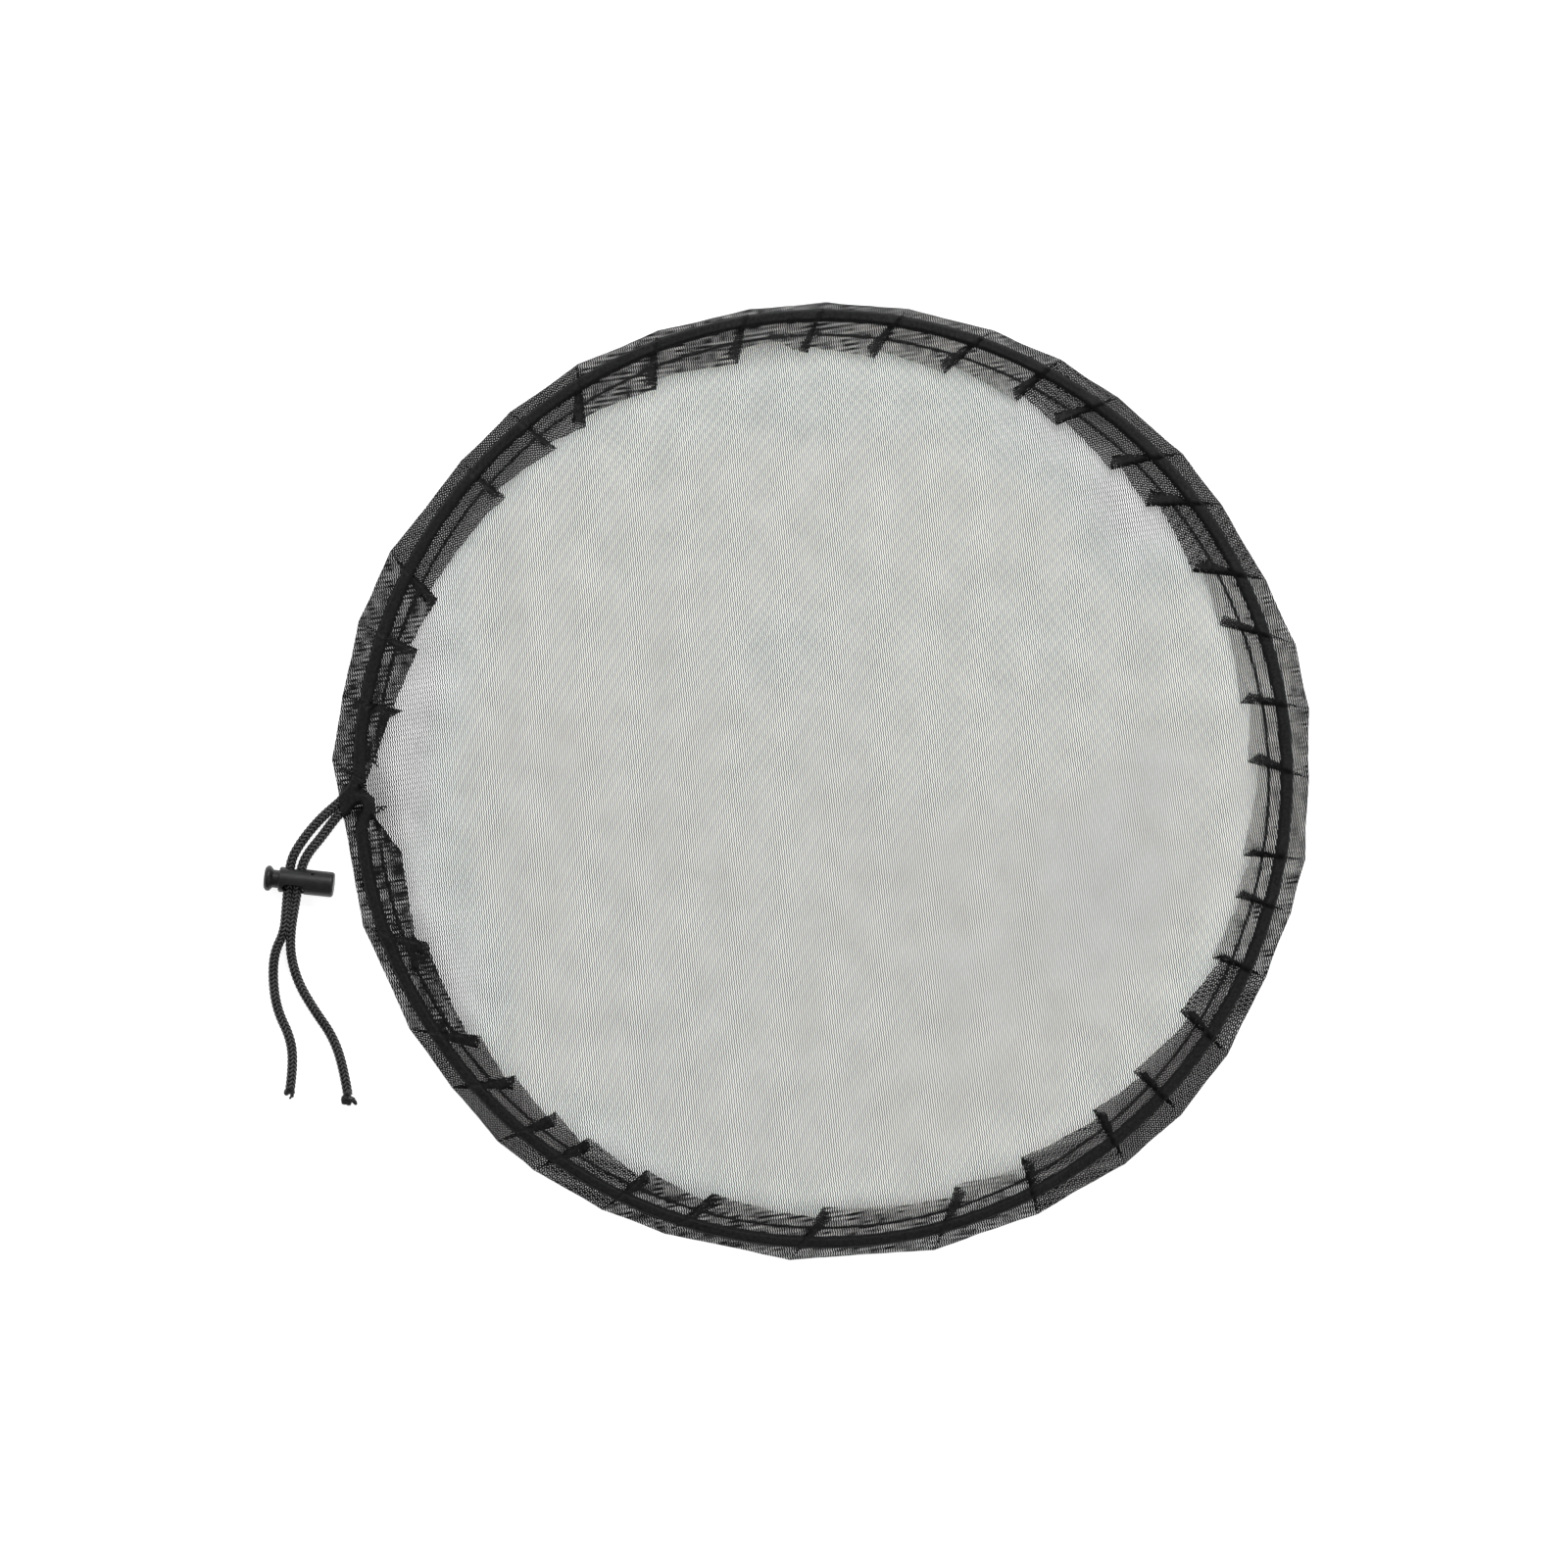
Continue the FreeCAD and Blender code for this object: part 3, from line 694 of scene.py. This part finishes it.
def raw_edge(degrees, radius):
    """The cut edge's place: a little ragged, and drawn back where drawn_back says."""
    limit = drawn_back(degrees % 360)
    if limit is not None:
        radius = limit
    ragged = 0.45 * MM * ripple(degrees * 1.7, 0, 1.0, 3) + 0.7 * MM * ripple(degrees * 0.35, 0, 1.0, 9)
    return polar(radius + ragged, degrees)


def hem_layout():
    """Each flap of the hem as columns: (outline point, raw edge point), from one pleat to the next."""
    flaps = []
    count = len(PLEATS)
    for index in range(count):
        angle, lean, radius = PLEATS[index]
        next_angle, next_lean, next_radius = PLEATS[(index + 1) % count]
        if index == count - 1:
            next_angle += 360
        start, end = polar(radius * MM, angle), polar(next_radius * MM, next_angle)
        tooth = angle + lean
        width = math.degrees(PLEAT_WIDTH / NOTCH_RADIUS)
        notch = next_angle + next_lean + width
        columns = []
        number = max(FLAP_COLUMNS, round((next_angle - angle) * COLUMNS_PER_DEGREE))
        if angle == EXIT_CORNER:
            number = EXIT_COLUMNS
        for step in range(number + 1):
            share = step / number
            outline = start.lerp(end, share)
            sag = math.sin(math.pi * share) * EDGE_SAG
            wobble = EDGE_WOBBLE * ripple(outline.x, outline.y, 9 * MM, 5) * math.sin(math.pi * share)
            outline += outline.normalized() * (wobble - sag)
            degrees = mix(tooth, notch, share)
            depth = mix(
                TOOTH_RADIUS + 1.4 * MM * ripple(index * 0.37, 0, 1.0, 1),
                NOTCH_RADIUS + 1.2 * MM * ripple(index * 0.53, 0, 1.0, 2),
                share,
            )
            columns.append((outline, raw_edge(degrees, depth)))
        flaps.append(columns)
    return flaps


def yarn_place(x, y, side=1):
    """Where a point of the flat cloth lies in the knit, whose wales lean and wander.

    side is -1 where the cloth is turned over and its lean shows the other way.
    """
    lean = WALE_LEAN + 0.04 * x / COVER_RADIUS
    wander = 0.25 * MM * ripple(x, y, 46 * MM, 11) + 0.08 * MM * ripple(x, y, 17 * MM, 13)
    drift = 0.4 * MM * ripple(x, y, 52 * MM, 17) + 0.1 * MM * ripple(x, y, 15 * MM, 19)
    return (x + side * lean * y + wander, y + drift - side * COURSE_RISE * x)


def layer_side(a, b):
    """1 where the fold from a to b runs nearly with or across the wales: both layers are in step. Else -1."""
    way = b - a
    steepness = min(abs(way.x), abs(way.y)) / way.length
    return 1 if steepness < STEEPEST_IN_STEP else -1


def turned(point, a, b, side):
    """Where a point of the turned layer lies in the flat cloth, as its knit shows it."""
    if side == -1:
        return mirrored(point, a, b)
    across = LAYER_SHIFT + 0.16 * MM * ripple(point.x, point.y, 3.5 * MM, 41)
    along = 0.45 * MM * ripple(point.x, point.y, 4 * MM, 43)
    return point + Vector((across, along, 0.0))


def cord_tree():
    """Every cord line that runs inside the hem, for finding the nearest place on it."""
    inside = list(ring_points)
    for leg, leg_points in cord_pieces.values():
        inside += [point for point in leg_points if point.xy.length < COVER_RADIUS + 1.5 * MM]
    tree = kdtree.KDTree(len(inside))
    for index, point in enumerate(inside):
        tree.insert((point.x, point.y, 0.0), index)
    tree.balance()
    return tree


CORDS = cord_tree()


def from_cord(point):
    """How far, in plan, the point is from the nearest cord's centreline."""
    return CORDS.find((point.x, point.y, 0.0))[2]


def over_cord(point):
    """How far the hem rises over the cord, from 0 to 1."""
    return 1 - smooth(*RISE_FADE, from_cord(point))


def pleat_tree():
    """Places along each pleat's bar of stacked layers, from the cord inward."""
    bars = []
    for angle, lean, radius in PLEATS:
        for step in range(PLEAT_STEPS + 1):
            share = step / PLEAT_STEPS
            middle = angle + (lean + 0.8) * mix(0.4, 0.85, share)
            bars.append(polar(mix(BAR_OUTER_RADIUS, BAR_INNER_RADIUS, share), middle))
    tree = kdtree.KDTree(len(bars))
    for index, point in enumerate(bars):
        tree.insert(point, index)
    tree.balance()
    return tree


BARS = pleat_tree()


def tight_net(point):
    """How far the holes close: fully round the cord, and partly at the seam and the pleats."""
    cord = 1 - smooth(*CORD_FADE, from_cord(point))
    bar = BAR_TIGHTNESS * (1 - smooth(*BAR_FADE, BARS.find((point.x, point.y, 0.0))[2]))
    stitched = SEAM_TIGHTNESS * (1 - smooth(*SEAM_FADE, abs(point.xy.length - SEAM_RADIUS)))
    return max(cord, bar, stitched)


def hem_height(point, share, lift):
    """Height of the folded-over layer: share is 0 at the fold and 1 at the raw edge."""
    flat = mix(0.75, 1.15, share) * MM
    flat += smooth(0.72, 1.0, share) * (0.7 + 0.75 * ripple(point.x, point.y, 11 * MM, 23)) * MM
    flat += 0.35 * MM * ripple(point.x, point.y, 6 * MM, 29) * smooth(0.0, 0.2, share)
    top = CORD_HEIGHT + CORD_RADIUS + OVER_CORD
    over = over_cord(point)
    height = mix(flat, top, over) + lift * smooth(0.1, 0.45, share)
    return mix(FOLD_HEIGHT, height, max(smooth(0.0, 0.12, share), over))


def panel_height(point, share):
    """Height of the layer on the ground: share is 0 at the centre and 1 at the fold."""
    inner = 1 - smooth(0.80, 0.87, share)
    waves = 0.5 * ripple(point.x, point.y, 70 * MM, 31) + 0.25 * ripple(point.x, point.y, 28 * MM, 37)
    crease = 0.5 * math.exp(-(((point.y - CREASE_Y) / CREASE_WIDTH) ** 2))
    crease *= smooth(70 * MM, 120 * MM, abs(point.x))
    return CLOTH_LIFT + MM * (0.45 + waves + crease) * inner


def make_net():
    flaps = hem_layout()
    vertices, faces, weave, gathered, tight = [], [], [], [], []

    outline = [columns[step][0] for columns in flaps for step in range(len(columns) - 1)]
    total = len(outline)
    shares = [(ring / PANEL_RINGS) ** 0.8 for ring in range(1, PANEL_RINGS + 1)]
    vertices.append(Vector((0, 0, panel_height(Vector((0, 0, 0)), 0.0))))
    gathered.append(0.0)
    tight.append(0.0)
    for share in shares:
        for point in outline:
            spot = point * share
            last = share == shares[-1]
            spot.z = FOLD_HEIGHT if last else panel_height(spot, share)
            vertices.append(spot)
            gathered.append(smooth(0.86, 0.93, share))
            tight.append(0.0)
    for column in range(total):
        beside = (column + 1) % total
        faces.append((0, 1 + column, 1 + beside))
        for ring_index in range(len(shares) - 1):
            a = 1 + ring_index * total
            b = a + total
            faces.append((a + column, b + column, b + beside, a + beside))
    for face in faces:
        weave.append([yarn_place(vertices[i].x, vertices[i].y) for i in face])
    fold_ring = 1 + (len(shares) - 1) * total

    def add_column(outer_vertex, outer, inner, lift):
        """The vertices of one column, from the fold to the raw edge. Over the legs the fold is open."""
        mouth = over_cord(outer) > 0.3
        column = [] if mouth else [outer_vertex]
        for row in range(0 if mouth else 1, FLAP_ROWS + 1):
            share = row / FLAP_ROWS
            spot = outer.lerp(inner, share)
            spot.z = hem_height(spot, share, lift)
            column.append(len(vertices))
            vertices.append(spot)
            gathered.append(1.0)
            tight.append(tight_net(spot))
        return column

    def add_strip(columns, unfold, side):
        """Faces between neighbouring columns. unfold gives a vertex's place in the flat cloth."""
        for left, right in zip(columns, columns[1:]):
            for row in range(FLAP_ROWS):
                face = [left[row], right[row], right[row + 1], left[row + 1]]
                face = [v for i, v in enumerate(face) if v not in face[:i]]
                faces.append(tuple(face))
                weave.append([yarn_place(*unfold(vertices[i]).xy, side) for i in face])

    first_outline = 0
    joined = None
    opening = None
    for index, columns in enumerate(flaps):
        corner, after = columns[0][0], columns[-1][0]
        beyond = flaps[(index + 1) % len(flaps)]
        side = layer_side(corner, after)
        made = []
        for step, (outer, inner) in enumerate(columns):
            vertex = fold_ring + (first_outline + step) % total
            lift = OVERLAP_LIFT * (1 - smooth(0.0, 0.45, step / (len(columns) - 1)))
            if step == 0 and joined is not None:
                made.append(joined)
                continue
            made.append(add_column(vertex, outer, inner, lift))
        if index == 0:
            opening = made[0]
        add_strip(made, lambda p, a=corner, b=after, s=side: turned(p, a, b, s), side)
        end_vertex = fold_ring + (first_outline + len(columns) - 1) % total
        crease = columns[-1][1]
        tooth = beyond[0][1]
        wedge = [made[-1]]
        for step in range(1, PLEAT_COLUMNS):
            share = step / PLEAT_COLUMNS
            place = crease.lerp(tooth, share)
            wedge.append(add_column(end_vertex, after, place, mix(0.1, 0.6, share) * MM))
        if index == len(flaps) - 1:
            joined = opening
        else:
            joined = add_column(end_vertex, after, tooth, OVERLAP_LIFT)
        wedge.append(joined)

        def unfold_wedge(point, a=corner, b=after, c=crease, s=side):
            return turned(mirrored(point, b, c), a, b, s)

        add_strip(wedge, unfold_wedge, side)
        first_outline += len(columns) - 1

    piece = new_object("net_cloth", vertices, faces, NET)
    layer = piece.data.uv_layers.new(name="weave")
    places = [place for face in weave for place in face]
    layer.data.foreach_set("uv", [value for place in places for value in place])
    for name, values in (("gathered", gathered), ("tight", tight)):
        piece.data.attributes.new(name, "FLOAT", "POINT").data.foreach_set("value", values)
    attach(piece, "cover")
    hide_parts("net_panel", "gathered_hem")
    return piece


net = make_net()


# ---- the seam: short stitches just inside the cord, and the thread's loose ends -------------------
STITCH_LENGTH = 2.3 * MM
STITCH_PITCH = 3.4 * MM
THREAD_RADIUS = 0.38 * MM
SEAM_GAP = (178.0, 188.5)
THREAD_TAILS = (
    (
        (-171.2, -10.6, 1.6), (-169.6, -9.4, 2.2), (-168.4, -10.2, 1.6), (-167.6, -9.2, 1.1),
        (-166.4, -9.9, 0.9),
    ),
    (
        (-171.0, -11.4, 1.5), (-169.9, -12.2, 2.0), (-169.0, -11.2, 1.9), (-168.9, -10.0, 1.3),
        (-167.4, -11.0, 0.9),
    ),
    (
        (-171.6, 8.6, 1.4), (-170.9, 7.4, 1.9), (-170.2, 6.6, 1.2), (-169.9, 5.6, 0.8),
    ),
)


def make_seam():
    vertices, faces = [], []
    count = round(math.tau * SEAM_RADIUS / STITCH_PITCH)
    for number in range(count):
        middle = 360 * number / count
        if SEAM_GAP[0] < middle < SEAM_GAP[1]:
            continue
        half = math.degrees(STITCH_LENGTH / SEAM_RADIUS) / 2
        line = []
        for step in range(9):
            share = step / 8
            degrees = middle + half * (2 * share - 1)
            radius = SEAM_RADIUS + 0.25 * MM * ripple(degrees, 0, 2.0, 41)
            spot = polar(radius, degrees)
            rise = math.sin(math.pi * share) ** 0.5
            spot.z = hem_height(spot, 0.62, 0.0) + (rise * 0.75 - 0.35) * MM
            line.append(spot)
        add_thread(vertices, faces, line, THREAD_RADIUS)
    for number, tail in enumerate(THREAD_TAILS):
        line = route_line(f"tail_{number}", [mm(point) for point in tail])
        add_thread(vertices, faces, line, THREAD_RADIUS * 0.9)
    seam = new_object("hem_stitches", vertices, faces, THREAD)
    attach(seam, "cover")
    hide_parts("hem_stitching")
    return seam


seam = make_seam()

# ---- cord lock ------------------------------------------------------------------------------------
for node in ("lock_barrel", "lock_plunger"):
    part = frame["nodes"][node]
    part.data.materials.clear()
    part.data.materials.append(PLASTIC)

PRESS = next(joint for joint in frame["joints"] if joint["name"] == "plunger_press")
AXIS = Vector(PRESS["axis"]).normalized()
SPRING_LOW, SPRING_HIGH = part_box("lock_spring")
SPRING_CENTRE = (Vector(SPRING_LOW) + Vector(SPRING_HIGH)) / 2
SPRING_HALF_LENGTH = 2.75 * MM
SPRING_RADIUS = 2.5 * MM
WIRE_RADIUS = 0.3 * MM
COILS = 4.5
STEPS_PER_COIL = 24


def make_spring():
    side = AXIS.cross(Vector((0, 0, 1))).normalized()
    up = side.cross(AXIS)
    line = []
    steps = round(COILS * STEPS_PER_COIL)
    for step in range(steps + 1):
        share = step / steps
        turn = math.tau * COILS * share
        along = (2 * share - 1) * (SPRING_HALF_LENGTH - WIRE_RADIUS)
        outward = side * math.cos(turn) + up * math.sin(turn)
        line.append(SPRING_CENTRE + AXIS * along + outward * (SPRING_RADIUS - WIRE_RADIUS))
    vertices, faces = [], []
    add_thread(vertices, faces, line, WIRE_RADIUS, 10)
    spring = new_object("lock_spring_coil", vertices, faces, STEEL)
    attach(spring, "lock")
    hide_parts("lock_spring")
    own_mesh(spring)


make_spring()

# ---- each melted tip with its leg's braid and points -----------------------------------------------
for side, tip in (("left", left_tip), ("right", right_tip)):
    leg, leg_points = cord_pieces[side]
